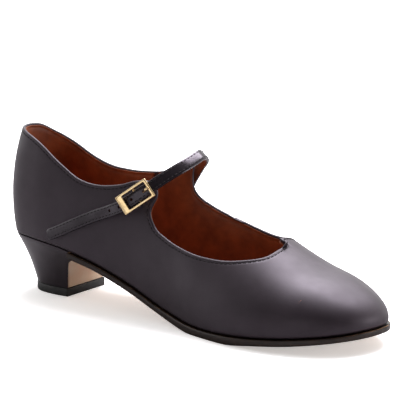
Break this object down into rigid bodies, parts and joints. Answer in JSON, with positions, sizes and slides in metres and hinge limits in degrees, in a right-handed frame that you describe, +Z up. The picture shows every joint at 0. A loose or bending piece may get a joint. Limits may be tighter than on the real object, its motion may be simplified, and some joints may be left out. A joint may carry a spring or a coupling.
{
  "type": "tap shoe",
  "caption": "Right-foot one-strap leather dance shoe with a buckle on the outer ear, brown lining and a leather-covered low heel.",
  "frame": {"origin": "middle of the shoe's footprint box, on the floor it stands on", "axes": "+X from the heel to the toe, +Y towards the inner side of the foot, +Z up"},
  "size_m": [0.2488, 0.0783, 0.0949],
  "materials": {
    "black_upper_leather": "smooth, softly shining",
    "black_trim_leather": "smooth, softly shining, folded edge",
    "black_strap_leather": "smooth, shinier than the upper",
    "black_heel_leather": "smooth, stretched over the heel",
    "brown_lining_leather": "smooth, slightly worn",
    "sock_leather": "smooth",
    "tan_sole_leather": "smooth, undyed, darker edge",
    "tan_breast_leather": "smooth, undyed",
    "stiffener_board": "pressed fibre board",
    "interlining": "woven cotton",
    "heel_pad_foam": "latex foam, matte",
    "cork_filler": "ground cork",
    "heel_core": "moulded",
    "heel_rubber": "matte, fine texture",
    "fixing_steel": "plain",
    "buckle_gold": "polished, pale gold"
  },
  "bodies": {
    "shoe": {"outer_side_leather": "black_upper_leather", "inner_quarter_leather": "black_upper_leather", "vamp_lining": "brown_lining_leather", "quarter_lining": "brown_lining_leather", "toe_puff": "stiffener_board", "heel_counter": "stiffener_board", "outer_interlining": "interlining", "inner_interlining": "interlining", "topline_edging": "black_trim_leather", "insole_board": "stiffener_board", "sock_lining": "sock_leather", "heel_pad": "heel_pad_foam", "shank_steel": "fixing_steel", "bottom_filler": "cork_filler", "outsole": "tan_sole_leather", "heel_block": "heel_core", "heel_cover": "black_heel_leather", "heel_breast_cover": "tan_breast_leather", "top_piece": "heel_rubber", "heel_screw": "fixing_steel", "heel_nail_1": "fixing_steel", "heel_nail_2": "fixing_steel", "heel_nail_3": "fixing_steel", "heel_nail_4": "fixing_steel", "top_piece_pin_1": "fixing_steel", "top_piece_pin_2": "fixing_steel", "top_piece_pin_3": "fixing_steel", "buckle_chape": "black_strap_leather"},
    "strap": {"strap_leather": "black_strap_leather", "strap_lining": "brown_lining_leather"},
    "buckle": {"buckle_frame": "buckle_gold", "buckle_bar": "buckle_gold"},
    "prong": {"buckle_prong": "buckle_gold"}
  },
  "joints": [
    {"name": "strap_open", "type": "hinge", "parent": "shoe", "child": "strap", "pos_m": [-0.01069, 0.02212, 0.079], "axis": [-0.8, 0, 0.6], "range_deg": [0, 100], "deforming": ["strap_leather", "strap_lining"]},
    {"name": "buckle_tilt", "type": "hinge", "parent": "shoe", "child": "buckle", "pos_m": [-0.01927, -0.02282, 0.06829], "axis": [-0.5976, -0.1, 0.7955], "range_deg": [0, 30]},
    {"name": "prong_swing", "type": "hinge", "parent": "buckle", "child": "prong", "pos_m": [-0.01927, -0.02282, 0.06829], "axis": [0.5976, 0.1, -0.7955], "range_deg": [0, 85]}
  ]
}
